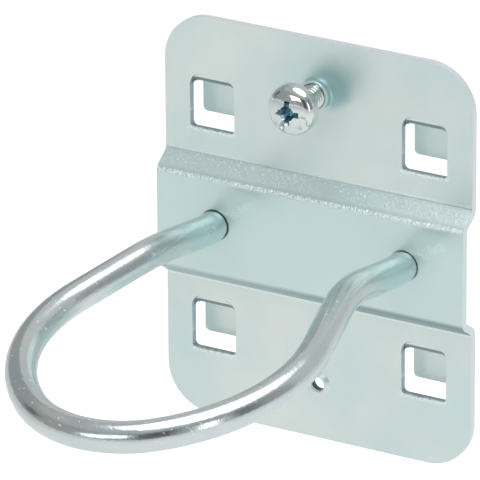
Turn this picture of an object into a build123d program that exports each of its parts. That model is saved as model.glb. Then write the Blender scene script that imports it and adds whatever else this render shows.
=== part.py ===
from build123d import *
import math
import os

# Ring-shaped tool holder that hooks into a perforated tool panel.
# Frame, in millimetres: X to the right, Y into the panel, Z up.
# The origin is the centre of the plate, on the plane that rests on the panel.

os.makedirs("parts", exist_ok=True)

# Folded plate
PLATE_WIDTH = 55.0
PLATE_HEIGHT = 68.0
SHEET = 1.25
CORNER_RADIUS = 7.8
BAND_STEP = 3.0
BAND_HALF_HEIGHT = 8.4
BAND_FOOT = 10.5
BAND_BEND_INNER = 0.5

# Hook tabs, cut from the sheet on three sides and folded out behind it
GRID_PITCH = 38.0
WINDOW_SIZE = 8.0
WINDOW_CORNER = 0.8
TAB_SIDE_GAP = 0.15
TAB_BEND_START = 5.15
TAB_SLIT_END = 3.6
TAB_BEND_INNER = 0.25
TAB_GAP = 2.6
TAB_DROP = 2.55
TAB_CORNER = 0.8

# Clamp screw, and the collar drawn out of the sheet around its hole
SCREW_EDGE_DISTANCE = 9.0
COLLAR_DIAMETER = 5.0
COLLAR_HEIGHT = 1.4
COLLAR_LIP_RADIUS = 0.2
COLLAR_FOOT_RADIUS = 0.4
SCREW_SHANK_DIAMETER = 4.0
SCREW_RUNNING_CLEARANCE = 0.06
SCREW_HEAD_DIAMETER = 8.3
SCREW_HEAD_HEIGHT = 3.1
SCREW_HEAD_RIM = 0.9
SCREW_HEAD_EDGE_RADIUS = 1.8
SCREW_HEAD_STANDOFF = 6.8
SCREW_TIP_CHAMFER = 0.5
RECESS_SPAN = 4.4
RECESS_WIDTH = 1.1
RECESS_DEPTH = 1.7

# Small pierced hole under the band, with its rim raised towards the front
PIERCED_EDGE_DISTANCE = 9.4
PIERCED_DIAMETER = 2.4
PIERCED_RIM_TOP = 3.2
PIERCED_RIM_BASE = 4.4
PIERCED_RIM_RISE = 0.45

# Wire ring
WIRE_DIAMETER = 5.0
STUB_SPACING = 34.0
STUB_HEIGHT = 0.4
STUB_SQUARE_LENGTH = 1.5
STUB_RISE_RADIUS = 15.0
STUB_RISE_ANGLE = 9.5
STUB_REACH = 18.6
SHOULDER_BEND_RADIUS = 25.0
LOOP_DROOP_ANGLE = 8.0
LEG_LENGTH = 17.6
LEG_SPREAD_ANGLE = 13.5
SIDE_RADIUS = 30.5
SIDE_END_ANGLE = 50.5
WIRE_END_CHAMFER = 0.3

# Riveted ends of the wire
TENON_DIAMETER = 4.0
TENON_CLEARANCE = 0.02
RIVET_HEAD_DIAMETER = 6.4
RIVET_HEAD_HEIGHT = 1.1
RIVET_HEAD_EDGE = 0.45

# Through cuts are made this much longer than the metal they cross
CUT_MARGIN = 1.0

FLANGE_FRONT = -SHEET
BAND_BACK = -BAND_STEP
BAND_FRONT = BAND_BACK - SHEET
TAB_WIDTH = WINDOW_SIZE - 2 * TAB_SIDE_GAP
SCREW_HEIGHT = PLATE_HEIGHT / 2 - SCREW_EDGE_DISTANCE
PIERCED_HEIGHT = PIERCED_EDGE_DISTANCE - PLATE_HEIGHT / 2


def y_cylinder(radius, y_start, y_end, x, z):
    """Round bar along Y between two depths."""
    start = Plane(origin=(x, y_start, z), x_dir=(1, 0, 0), z_dir=(0, 1, 0))
    return extrude(start * Circle(radius), amount=y_end - y_start)


def y_revolve(points_and_arcs, x, z):
    """Turns a closed half-section, drawn in the XY plane beside X = 0, about the Y axis."""
    solid = revolve(make_face(points_and_arcs), axis=Axis.Y, revolution_arc=360)
    return Pos(x, 0, z) * solid


def folded_sheet():
    """The sheet with its middle band pressed forward, before any cut."""
    slope = math.atan2(BAND_STEP, BAND_FOOT - BAND_HALF_HEIGHT)
    miter = SHEET * math.tan(slope / 2)
    half = PLATE_HEIGHT / 2
    front = [
        (FLANGE_FRONT, half),
        (FLANGE_FRONT, BAND_FOOT),
        (BAND_FRONT, BAND_HALF_HEIGHT),
        (BAND_FRONT, -BAND_HALF_HEIGHT),
        (FLANGE_FRONT, -BAND_FOOT),
        (FLANGE_FRONT, -half),
    ]
    back = [
        (0, -half),
        (0, -BAND_FOOT + miter),
        (BAND_BACK, -BAND_HALF_HEIGHT + miter),
        (BAND_BACK, BAND_HALF_HEIGHT - miter),
        (0, BAND_FOOT - miter),
        (0, half),
    ]
    section = make_face(Polyline(*front, *back, close=True))
    outer_bends = []
    inner_bends = []
    for corner in section.vertices():
        height = abs(corner.Y)
        if height > BAND_FOOT + SHEET:
            continue
        on_front_ridge = abs(corner.X - BAND_FRONT) < SHEET / 2
        on_back_foot = abs(corner.X) < SHEET / 2
        if on_front_ridge or on_back_foot:
            outer_bends.append(corner)
        else:
            inner_bends.append(corner)
    section = fillet(inner_bends, BAND_BEND_INNER)
    outer_bends = [
        v for v in section.vertices()
        if any((v.center() - old.center()).length < SHEET / 10 for old in outer_bends)
    ]
    section = fillet(outer_bends, BAND_BEND_INNER + SHEET)
    side = Plane(origin=(-PLATE_WIDTH / 2, 0, 0), x_dir=(0, 1, 0), z_dir=(1, 0, 0))
    sheet = extrude(side * section, amount=PLATE_WIDTH)
    outline = Plane.XZ * RectangleRounded(PLATE_WIDTH, PLATE_HEIGHT, CORNER_RADIUS)
    depth = BAND_STEP + 2 * SHEET + CUT_MARGIN
    return sheet & extrude(outline, amount=depth, both=True)


def window_cut():
    """Opening in the sheet around one tab, centred on the origin."""
    depth = SHEET + CUT_MARGIN
    low = -WINDOW_SIZE / 2
    slot_height = TAB_SLIT_END - low
    slot = Plane.XZ * Pos(0, low + slot_height / 2) * Rectangle(WINDOW_SIZE, slot_height)
    cut = extrude(slot, amount=depth, both=True)
    bottom_corners = cut.edges().filter_by(Axis.Y).group_by(Axis.Z)[0]
    cut = fillet(bottom_corners, WINDOW_CORNER)
    root_height = TAB_BEND_START - TAB_SLIT_END
    root = Plane.XZ * Pos(0, TAB_SLIT_END + root_height / 2) * Rectangle(TAB_WIDTH, root_height)
    return cut + extrude(root, amount=depth, both=True)


def hook_tab():
    """One tab, folded back from the sheet and then down, centred like its window."""
    outer = TAB_BEND_INNER + SHEET
    top = TAB_BEND_START
    run_low = top - outer
    run_high = top - TAB_BEND_INNER
    first_y = FLANGE_FRONT + outer
    second_y = TAB_GAP - TAB_BEND_INNER
    second_z = run_low - TAB_BEND_INNER
    back = TAB_GAP + SHEET
    s = math.sqrt(0.5)
    edges = [
        ThreePointArc(
            (FLANGE_FRONT, top),
            (first_y - outer * s, top - outer * s),
            (first_y, run_low),
        ),
        Line((first_y, run_low), (second_y, run_low)),
        ThreePointArc(
            (second_y, run_low),
            (second_y + TAB_BEND_INNER * s, second_z + TAB_BEND_INNER * s),
            (TAB_GAP, second_z),
        ),
        Line((TAB_GAP, second_z), (TAB_GAP, -TAB_DROP)),
        Line((TAB_GAP, -TAB_DROP), (back, -TAB_DROP)),
        Line((back, -TAB_DROP), (back, second_z)),
        ThreePointArc(
            (back, second_z),
            (second_y + outer * s, second_z + outer * s),
            (second_y, run_high),
        ),
        Line((second_y, run_high), (first_y, run_high)),
        ThreePointArc(
            (first_y, run_high),
            (first_y - TAB_BEND_INNER * s, top - TAB_BEND_INNER * s),
            (0, top),
        ),
        Line((0, top), (FLANGE_FRONT, top)),
    ]
    side = Plane(origin=(-TAB_WIDTH / 2, 0, 0), x_dir=(0, 1, 0), z_dir=(1, 0, 0))
    tab = extrude(side * make_face(edges), amount=TAB_WIDTH)
    low_corners = tab.edges().filter_by(Axis.Y).group_by(Axis.Z)[0]
    return fillet(low_corners, TAB_CORNER)


def screw_collar():
    """Collar that the punch draws forward around the screw hole, still without the hole."""
    radius = COLLAR_DIAMETER / 2
    lip = COLLAR_LIP_RADIUS
    foot = COLLAR_FOOT_RADIUS
    top = FLANGE_FRONT - COLLAR_HEIGHT
    inside = FLANGE_FRONT + SHEET / 2
    s = math.sqrt(0.5)
    half_section = [
        Line((0, inside), (0, top)),
        Line((0, top), (radius - lip, top)),
        ThreePointArc((radius - lip, top), (radius - lip + lip * s, top + lip - lip * s), (radius, top + lip)),
        Line((radius, top + lip), (radius, FLANGE_FRONT - foot)),
        ThreePointArc(
            (radius, FLANGE_FRONT - foot),
            (radius + foot - foot * s, FLANGE_FRONT - foot + foot * s),
            (radius + foot, FLANGE_FRONT),
        ),
        Line((radius + foot, FLANGE_FRONT), (radius + foot, inside)),
        Line((radius + foot, inside), (0, inside)),
    ]
    return y_revolve(half_section, 0, SCREW_HEIGHT)


def base_plate():
    """Folded plate with its hook tabs, screw collar, pierced hole and rivet holes."""
    plate = folded_sheet() + screw_collar()
    cut = window_cut()
    tab = hook_tab()
    half = GRID_PITCH / 2
    for x in (-half, half):
        for z in (-half, half):
            plate = plate - Pos(x, 0, z) * cut
            plate = plate + Pos(x, 0, z) * tab
    rim_top = FLANGE_FRONT - PIERCED_RIM_RISE
    rim = Plane(origin=(0, FLANGE_FRONT, PIERCED_HEIGHT), x_dir=(1, 0, 0), z_dir=(0, -1, 0))
    rim_slant = math.degrees(math.atan2(PIERCED_RIM_BASE - PIERCED_RIM_TOP, 2 * PIERCED_RIM_RISE))
    plate = plate + extrude(rim * Circle(PIERCED_RIM_BASE / 2), amount=PIERCED_RIM_RISE, taper=rim_slant)
    plate = plate - y_cylinder(
        PIERCED_DIAMETER / 2, rim_top - CUT_MARGIN, CUT_MARGIN, 0, PIERCED_HEIGHT
    )
    plate = plate - y_cylinder(
        SCREW_SHANK_DIAMETER / 2 + SCREW_RUNNING_CLEARANCE,
        FLANGE_FRONT - COLLAR_HEIGHT - CUT_MARGIN, CUT_MARGIN, 0, SCREW_HEIGHT,
    )
    for x in (-STUB_SPACING / 2, STUB_SPACING / 2):
        plate = plate - y_cylinder(
            TENON_DIAMETER / 2 + TENON_CLEARANCE,
            BAND_FRONT - CUT_MARGIN, BAND_BACK + CUT_MARGIN, x, STUB_HEIGHT,
        )
    return plate


def bend_arc(corner, into, out, radius):
    """Arc that rounds a corner between two unit directions; gives its ends and middle."""
    angle = math.acos(into.dot(out))
    reach = radius * math.tan(angle / 2)
    start = corner - into * reach
    end = corner + out * reach
    inward = (out - into).normalized()
    centre = corner + inward * (radius / math.cos(angle / 2))
    return start, centre - inward * radius, end


def ring_path():
    """Centre line of the wire, from the band on the left round to the band on the right."""
    half = STUB_SPACING / 2
    rise = math.radians(STUB_RISE_ANGLE)
    droop = math.radians(LOOP_DROOP_ANGLE)
    spread = math.radians(LEG_SPREAD_ANGLE)
    end = math.radians(SIDE_END_ANGLE)
    square = Vector(0, -1, 0)
    rising = Vector(0, -math.cos(rise), math.sin(rise))
    forward = Vector(0, -math.cos(droop), -math.sin(droop))
    leg = Vector(math.sin(spread), 0, 0) + forward * math.cos(spread)
    root = Vector(half, BAND_FRONT, STUB_HEIGHT)
    first_reach = STUB_SQUARE_LENGTH + STUB_RISE_RADIUS * math.tan(rise / 2)
    first_corner = root + square * first_reach
    corner = first_corner + rising * (STUB_REACH - first_reach)

    def loop_point(x, along):
        return Vector(x, corner.Y, corner.Z) + forward * along

    rise_start, rise_mid, rise_end = bend_arc(first_corner, square, rising, STUB_RISE_RADIUS)
    turn_start, turn_mid, turn_end = bend_arc(corner, rising, leg, SHOULDER_BEND_RADIUS)
    leg_x = half + LEG_LENGTH * math.sin(spread)
    leg_along = LEG_LENGTH * math.cos(spread)
    side_x = leg_x - SIDE_RADIUS * math.cos(spread)
    side_along = leg_along + SIDE_RADIUS * math.sin(spread)
    front_radius = SIDE_RADIUS + side_x / math.cos(end)
    front_along = side_along + (SIDE_RADIUS - front_radius) * math.sin(end)
    middle = (end - spread) / 2
    leg_end = loop_point(leg_x, leg_along)
    side_mid = loop_point(
        side_x + SIDE_RADIUS * math.cos(middle), side_along + SIDE_RADIUS * math.sin(middle)
    )
    side_end = loop_point(
        front_radius * math.cos(end), front_along + front_radius * math.sin(end)
    )
    tip = loop_point(0, front_along + front_radius)

    def mirrored(point):
        return Vector(-point.X, point.Y, point.Z)

    right = [
        Line(root, rise_start),
        ThreePointArc(rise_start, rise_mid, rise_end),
        Line(rise_end, turn_start),
        ThreePointArc(turn_start, turn_mid, turn_end),
        Line(turn_end, leg_end),
        ThreePointArc(leg_end, side_mid, side_end),
    ]
    left = [
        ThreePointArc(mirrored(side_end), mirrored(side_mid), mirrored(leg_end)),
        Line(mirrored(leg_end), mirrored(turn_end)),
        ThreePointArc(mirrored(turn_end), mirrored(turn_mid), mirrored(turn_start)),
        Line(mirrored(turn_start), mirrored(rise_end)),
        ThreePointArc(mirrored(rise_end), mirrored(rise_mid), mirrored(rise_start)),
        Line(mirrored(rise_start), mirrored(root)),
    ]
    front = ThreePointArc(side_end, tip, mirrored(side_end))
    return Wire(right + [front] + left)


def wire_ring():
    """Bent wire with a turned-down tenon and a riveted head at each end."""
    path = ring_path()
    section = Plane(origin=path @ 0, z_dir=path % 0) * Circle(WIRE_DIAMETER / 2)
    ring = sweep(section, path=path)
    ends = [e for e in ring.edges() if abs(e.center().Y - BAND_FRONT) < SHEET / 10]
    ends = [e for e in ends if e.geom_type == GeomType.CIRCLE]
    ring = chamfer(ends, WIRE_END_CHAMFER)
    head_top = BAND_BACK + RIVET_HEAD_HEIGHT
    head_radius = RIVET_HEAD_DIAMETER / 2
    crown = head_radius * 2 / 3
    half_section = [
        Line((0, BAND_FRONT), (TENON_DIAMETER / 2, BAND_FRONT)),
        Line((TENON_DIAMETER / 2, BAND_FRONT), (TENON_DIAMETER / 2, BAND_BACK)),
        Line((TENON_DIAMETER / 2, BAND_BACK), (head_radius, BAND_BACK)),
        Line((head_radius, BAND_BACK), (head_radius, BAND_BACK + RIVET_HEAD_EDGE)),
        Line((head_radius, BAND_BACK + RIVET_HEAD_EDGE), (crown, head_top)),
        Line((crown, head_top), (0, head_top)),
        Line((0, head_top), (0, BAND_FRONT)),
    ]
    for x in (-STUB_SPACING / 2, STUB_SPACING / 2):
        ring = ring + y_revolve(half_section, x, STUB_HEIGHT)
    print("wire length", path.length, "bar volume", path.length * math.pi * WIRE_DIAMETER**2 / 4)
    return ring


def clamp_screw():
    """Pan-head screw with a cross recess; the shank is drawn plain."""
    under = FLANGE_FRONT - SCREW_HEAD_STANDOFF
    top = under - SCREW_HEAD_HEIGHT
    rim = under - SCREW_HEAD_RIM
    radius = SCREW_HEAD_DIAMETER / 2
    shank = SCREW_SHANK_DIAMETER / 2
    edge = SCREW_HEAD_EDGE_RADIUS
    dome = rim - top
    edge_centre = Vector(radius - edge, rim)
    crown = (edge_centre.X**2 + dome**2 - edge**2) / (2 * (dome - edge))
    crown_centre = Vector(0, top + crown)
    blend = edge_centre + (edge_centre - crown_centre).normalized() * edge
    edge_middle = edge_centre + (Vector(1, 0) + (blend - edge_centre).normalized()).normalized() * edge
    crown_middle = crown_centre + (Vector(0, -1) + (blend - crown_centre).normalized()).normalized() * crown
    half_section = [
        Line((0, top), (0, 0)),
        Line((0, 0), (shank - SCREW_TIP_CHAMFER, 0)),
        Line((shank - SCREW_TIP_CHAMFER, 0), (shank, -SCREW_TIP_CHAMFER)),
        Line((shank, -SCREW_TIP_CHAMFER), (shank, under)),
        Line((shank, under), (radius, under)),
        Line((radius, under), (radius, rim)),
        ThreePointArc((radius, rim), edge_middle, blend),
        ThreePointArc(blend, crown_middle, (0, top)),
    ]
    screw = y_revolve(half_section, 0, SCREW_HEIGHT)
    face = Plane(origin=(0, top - CUT_MARGIN, SCREW_HEIGHT), x_dir=(1, 0, 0), z_dir=(0, 1, 0))
    cross = Rectangle(RECESS_SPAN, RECESS_WIDTH) + Rectangle(RECESS_WIDTH, RECESS_SPAN)
    return screw - extrude(face * cross, amount=RECESS_DEPTH + CUT_MARGIN)


pieces = {
    "base_plate": base_plate(),
    "wire_ring": wire_ring(),
    "clamp_screw": clamp_screw(),
}
for name, solid in pieces.items():
    box = solid.bounding_box()
    print(name, "solids", len(solid.solids()), "volume", solid.volume, box.min, box.max)
    export_step(solid, f"parts/{name}.step")
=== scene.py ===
# %% [markdown]
# # A ring-shaped tool holder on its CAD frame
# The holder is a folded sheet plate with four hook tabs, a bent wire ring and a clamp screw, all zinc
# plated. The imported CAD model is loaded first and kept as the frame: every Blender piece is made in metres
# in the same place and then stands for one CAD node.

# %% Load the frame
from math import acos, atan2, cos, degrees, pi, radians, sin, sqrt, tan

import bpy
from mathutils import Matrix, Vector


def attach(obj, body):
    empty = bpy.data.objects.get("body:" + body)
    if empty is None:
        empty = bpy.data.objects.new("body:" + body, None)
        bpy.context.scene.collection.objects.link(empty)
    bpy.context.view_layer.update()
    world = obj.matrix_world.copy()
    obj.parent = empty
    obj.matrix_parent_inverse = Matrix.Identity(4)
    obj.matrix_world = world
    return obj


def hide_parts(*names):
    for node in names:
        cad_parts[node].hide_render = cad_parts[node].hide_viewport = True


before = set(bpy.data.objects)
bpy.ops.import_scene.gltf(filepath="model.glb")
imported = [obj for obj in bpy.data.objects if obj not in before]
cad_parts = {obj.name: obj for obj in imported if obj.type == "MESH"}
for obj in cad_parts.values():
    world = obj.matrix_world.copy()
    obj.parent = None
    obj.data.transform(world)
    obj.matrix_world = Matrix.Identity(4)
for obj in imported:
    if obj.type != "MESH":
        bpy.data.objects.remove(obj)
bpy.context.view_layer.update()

MM = 0.001
TINY, LOOSE, WELD = 0.001 * MM, 0.01 * MM, 0.002 * MM

# %% [markdown]
# ## Small habits that every step below shares
# An operator works on whatever is selected, and the imported CAD nodes are still selected. So each step
# starts from nothing selected, and edges or faces are then picked in code by where they are, as a modeller
# would pick them with the mouse.

# %% Selecting and finishing helpers
def start_clean():
    """Leaves edit mode and deselects everything."""
    if bpy.context.object and bpy.context.object.mode != "OBJECT":
        bpy.ops.object.mode_set(mode="OBJECT")
    bpy.ops.object.select_all(action="DESELECT")


def work_on(piece):
    """Makes one piece the only selected and active object."""
    start_clean()
    piece.select_set(True)
    bpy.context.view_layer.objects.active = piece


def pick(piece, kind, test):
    """Selects the vertices, edges or faces whose middle passes the test, and leaves edit mode on."""
    work_on(piece)
    bpy.ops.object.mode_set(mode="EDIT")
    bpy.ops.mesh.select_mode(type={"vertices": "VERT", "edges": "EDGE", "polygons": "FACE"}[kind])
    bpy.ops.mesh.select_all(action="DESELECT")
    bpy.ops.object.mode_set(mode="OBJECT")
    points = [v.co.copy() for v in piece.data.vertices]
    for item in getattr(piece.data, kind):
        corners = [item.index] if kind == "vertices" else list(item.vertices)
        middle = sum((points[i] for i in corners), Vector()) / len(corners)
        item.select = bool(test(middle, [points[i] for i in corners]))
    bpy.ops.object.mode_set(mode="EDIT")


def everything(middle, corners):
    """The test that picks the whole piece."""
    return True


def pick_open_edges():
    """Selects the open edges of the edited piece."""
    bpy.ops.mesh.select_mode(type="EDGE")
    bpy.ops.mesh.select_all(action="DESELECT")
    bpy.ops.mesh.select_non_manifold()


def edit_done():
    """Leaves edit mode."""
    bpy.ops.object.mode_set(mode="OBJECT")


def turn_outwards():
    """Points all faces of the edited piece outwards and leaves edit mode."""
    bpy.ops.mesh.select_all(action="SELECT")
    bpy.ops.mesh.normals_make_consistent(inside=False)
    edit_done()


def settle(piece):
    """Puts the piece's place into its mesh, so that its object sits unturned at the origin."""
    work_on(piece)
    bpy.ops.object.transform_apply(location=True, rotation=True, scale=True)


def keep(name):
    """Names and settles the object that was just made."""
    made = bpy.context.object
    made.name = name
    settle(made)
    return made


def use_modifier(piece, name, kind, **settings):
    """Adds a modifier with these settings and applies it."""
    work_on(piece)
    modifier = piece.modifiers.new(name, kind)
    for key, value in settings.items():
        setattr(modifier, key, value)
    bpy.ops.object.modifier_apply(modifier=modifier.name)


def smooth(piece, degrees_apart=32):
    """Shades curved faces smooth and keeps real corners sharp."""
    work_on(piece)
    bpy.ops.object.shade_smooth_by_angle(angle=radians(degrees_apart))


def report(piece):
    """Prints a finished piece's face count, size and lowest corner, in millimetres."""
    low = [min(v.co[i] for v in piece.data.vertices) / MM for i in range(3)]
    high = [max(v.co[i] for v in piece.data.vertices) / MM for i in range(3)]
    size = [round(b - a, 2) for a, b in zip(low, high)]
    print(piece.name, "faces", len(piece.data.polygons), "size mm", size, "low", [round(a, 2) for a in low])


# %% [markdown]
# ## The plate: one sheet, pressed and folded
# On the real holder the plate starts as a flat blank with round corners, and a press pushes its middle band
# forward so that the riveted wire ends behind it stay clear of the panel. The same order works here: a flat
# rectangle, round corners, cut lines at the folds, the band moved forward, the folds rounded, and only then
# a thickness. Solidify gives every fold its two matching radii, which a solid block would need by hand.

# %% Plate blank and folds
SHEET = 1.25 * MM
PLATE_WIDTH, PLATE_HEIGHT = 55 * MM, 68 * MM
CORNER_RADIUS = 7.8 * MM
BAND_STEP = 3.0 * MM
BAND_HALF_HEIGHT, BAND_FOOT = 8.4 * MM, 10.5 * MM
FOLD_INNER = 0.5 * MM
FLANGE_FRONT = -SHEET
BAND_FRONT = -SHEET - BAND_STEP
FACING_X, FACING_Y = (0, radians(90), 0), (radians(90), 0, 0)

start_clean()
bpy.ops.mesh.primitive_plane_add(size=1, location=(0, FLANGE_FRONT, 0), rotation=FACING_Y)
bpy.context.object.scale = (PLATE_WIDTH, PLATE_HEIGHT, 1)
plate = keep("folded_plate")

pick(plate, "vertices", everything)
bpy.ops.mesh.bevel(offset=CORNER_RADIUS, offset_type="OFFSET", segments=14, affect="VERTICES")
for height in (BAND_HALF_HEIGHT, BAND_FOOT, -BAND_HALF_HEIGHT, -BAND_FOOT):
    bpy.ops.mesh.select_all(action="SELECT")
    bpy.ops.mesh.bisect(plane_co=(0, 0, height), plane_no=(0, 0, 1))

pick(plate, "polygons", lambda middle, corners: abs(middle.z) < BAND_HALF_HEIGHT)
bpy.ops.transform.translate(value=(0, -BAND_STEP, 0))

# %% Round the folds and give the sheet its thickness
fold_angle = atan2(BAND_STEP, BAND_FOOT - BAND_HALF_HEIGHT)


def round_fold(height, radius):
    """Bevels both fold lines at this height into an arc of that radius on the front."""
    pick(plate, "edges", lambda middle, corners: all(abs(abs(c.z) - height) < TINY for c in corners))
    bpy.ops.mesh.bevel(offset=radius * tan(fold_angle / 2), offset_type="OFFSET", segments=6, affect="EDGES")
    edit_done()


def thicken(piece, front_face):
    """Turns a bent sheet so that this face looks to the front, and gives it its thickness behind."""
    if front_face.normal.y > 0:
        pick(piece, "polygons", everything)
        bpy.ops.mesh.flip_normals()
        edit_done()
    use_modifier(piece, "sheet", "SOLIDIFY", thickness=SHEET, offset=-1.0, use_even_offset=True)


round_fold(BAND_HALF_HEIGHT, FOLD_INNER + SHEET)
round_fold(BAND_FOOT, FOLD_INNER)
pick(plate, "polygons", everything)
turn_outwards()
thicken(plate, max(plate.data.polygons, key=lambda face: face.area))
report(plate)

# %% [markdown]
# ## Windows and holes
# Each hook is cut out of the sheet on three sides, which leaves a square window. The punch has small round
# corners below; above, where the tab is bent away, the sheet is drawn in and the corners come out rounder. So
# the cutter is a block with two pairs of bevelled edges. It is shaped once and copied to the four places, and
# Boolean does the punching. The screw hole, the small pierced hole and the two rivet holes are punched the
# same way with round cutters.

# %% Punch the windows
GRID_HALF = 19 * MM
WINDOW = 8 * MM
WINDOW_CORNER, WINDOW_ROOT_CORNER = 0.8 * MM, 1.9 * MM
TAB_SIDE_GAP = 0.15 * MM
TAB_WIDTH = WINDOW - 2 * TAB_SIDE_GAP
TAB_ROOT_WIDTH = WINDOW - 2 * WINDOW_ROOT_CORNER
TAB_BEND_START = 5.15 * MM
PUNCH_DEPTH = 4 * MM


def block(name, size, centre):
    """A box of that size, with its place in its mesh."""
    start_clean()
    bpy.ops.mesh.primitive_cube_add(size=1, location=centre)
    bpy.context.object.scale = size
    return keep(name)


def copy_of(piece, name, offset):
    """A copy with its own mesh, moved by offset."""
    work_on(piece)
    bpy.ops.object.duplicate()
    bpy.context.object.location = Vector(offset)
    return keep(name)


def combine(piece, tool, operation):
    """Applies one Boolean with a tool and removes the tool."""
    use_modifier(piece, "punch", "BOOLEAN", object=tool, operation=operation, solver="EXACT")
    bpy.data.objects.remove(tool)


punch_height = TAB_BEND_START + WINDOW / 2
punch_middle = Vector((0, -SHEET / 2, TAB_BEND_START - punch_height / 2))
punch = block("punch", (WINDOW, PUNCH_DEPTH, punch_height), punch_middle)
for radius, side in ((WINDOW_CORNER, -1), (WINDOW_ROOT_CORNER, 1)):
    edge_height = punch_middle.z + side * punch_height / 2
    pick(punch, "edges", lambda middle, corners: abs(middle.z - edge_height) < TINY
         and abs(middle.y - punch_middle.y) < TINY)
    bpy.ops.mesh.bevel(offset=radius, offset_type="OFFSET", segments=8, affect="EDGES")
    edit_done()
window_places = [(x, 0, z) for x in (-GRID_HALF, GRID_HALF) for z in (-GRID_HALF, GRID_HALF)]
for place in window_places:
    combine(plate, copy_of(punch, "window_punch", place), "DIFFERENCE")
bpy.data.objects.remove(punch)
report(plate)

# %% Punch the round holes
SCREW_HEIGHT = 25.0 * MM
SCREW_HOLE_RADIUS = (4.0 / 2 + 0.06) * MM
PIERCED_HEIGHT = -24.6 * MM
PIERCED_RADIUS = 1.2 * MM
STUB_X, STUB_HEIGHT = 17.0 * MM, 0.4 * MM
RIVET_HOLE_RADIUS = 2.02 * MM
ROUND_VERTICES = 48


def pin(radius, place):
    """A round cutter along Y, with its middle at this place."""
    start_clean()
    bpy.ops.mesh.primitive_cylinder_add(
        vertices=ROUND_VERTICES, radius=radius, depth=PUNCH_DEPTH, location=place, rotation=FACING_Y
    )
    return keep("round_punch")


flange_middle = -SHEET / 2
band_middle = -BAND_STEP - SHEET / 2
for radius, place in (
    (SCREW_HOLE_RADIUS, (0, flange_middle, SCREW_HEIGHT)),
    (PIERCED_RADIUS, (0, flange_middle, PIERCED_HEIGHT)),
    (RIVET_HOLE_RADIUS, (-STUB_X, band_middle, STUB_HEIGHT)),
    (RIVET_HOLE_RADIUS, (STUB_X, band_middle, STUB_HEIGHT)),
):
    combine(plate, pin(radius, place), "DIFFERENCE")
report(plate)

# %% [markdown]
# ## Soft edges on the sheet
# A punched edge is never razor sharp. On the side where the punch enters, the sheet is drawn in by about a
# third of a millimetre, and everywhere else tumbling and plating round the edge by about a tenth. These
# small rounds draw the thin bright line along every edge of the plate. The straight top of each window stays
# as it is, because there the metal runs on into the bend of the tab.

# %% Break the sharp edges
PUNCH_ROLL = 0.34 * MM
EDGE_BREAK = 0.14 * MM
SHARP_ANGLE = radians(50)


def from_window(point):
    """The point as measured from the nearest window's grid point."""
    closest = min(window_places, key=lambda place: (Vector(place) - point).length)
    return point - Vector(closest)


def on_tab_root(point):
    """True on the straight top of a window, where a tab continues the sheet."""
    local = from_window(point)
    return abs(local.x) < TAB_ROOT_WIDTH / 2 and abs(local.z - TAB_BEND_START) < LOOSE


def on_window_front(point):
    """True on the front edge of a window, where the punch enters."""
    local = from_window(point)
    across = abs(local.x) < WINDOW / 2 + LOOSE
    upright = -WINDOW / 2 - LOOSE < local.z < TAB_BEND_START + LOOSE
    return across and upright and abs(point.y - FLANGE_FRONT) < LOOSE


def round_sharp_edges(piece, width, wanted):
    """Bevels those sharp edges of a piece whose middle passes the test."""
    work_on(piece)
    bpy.ops.object.mode_set(mode="EDIT")
    bpy.ops.mesh.select_mode(type="EDGE")
    bpy.ops.mesh.select_all(action="SELECT")
    bpy.ops.mesh.remove_doubles(threshold=WELD)
    bpy.ops.mesh.select_all(action="DESELECT")
    bpy.ops.mesh.edges_select_sharp(sharpness=SHARP_ANGLE)
    edit_done()
    for edge in piece.data.edges:
        ends = [piece.data.vertices[i].co for i in edge.vertices]
        edge.select = edge.select and wanted((ends[0] + ends[1]) / 2)
    bpy.ops.object.mode_set(mode="EDIT")
    bpy.ops.mesh.bevel(offset=width, offset_type="OFFSET", segments=3, affect="EDGES", clamp_overlap=True)
    edit_done()


round_sharp_edges(plate, PUNCH_ROLL, lambda point: on_window_front(point) and not on_tab_root(point))
round_sharp_edges(plate, EDGE_BREAK, lambda point: not on_tab_root(point))
report(plate)

# %% [markdown]
# ## The hook tabs
# A tab is the flap that the punch left standing, bent back through a right angle and then down again behind
# the panel. It is drawn as a strip: one edge at the top of the window, spun round the first bend, extruded
# along the short run, spun round the second bend and extruded down. The strip's first bend is drawn in to the
# straight top of the window, with round shoulders. Solidify then thickens it like the plate.

# %% One tab, then four
TAB_BEND_INNER = 0.25 * MM
TAB_GAP = 2.6 * MM
TAB_DROP = 2.55 * MM
TAB_CORNER = 0.8 * MM
TAB_BEND_OUTER = TAB_BEND_INNER + SHEET
FEWEST_STEPS, DEGREES_PER_STEP = 3, 4


def bend(angle, centre, axis):
    """Carries the selected loop round an arc, right-handed about the axis; spin turns the other way."""
    steps = max(FEWEST_STEPS, round(abs(degrees(angle)) / DEGREES_PER_STEP))
    bpy.ops.mesh.spin(steps=steps, angle=-angle, center=centre, axis=axis)


def run_on(offset):
    """Carries the selected loop or edge straight on by this offset."""
    bpy.ops.mesh.extrude_region_move(TRANSFORM_OT_translate={"value": offset})


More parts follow.
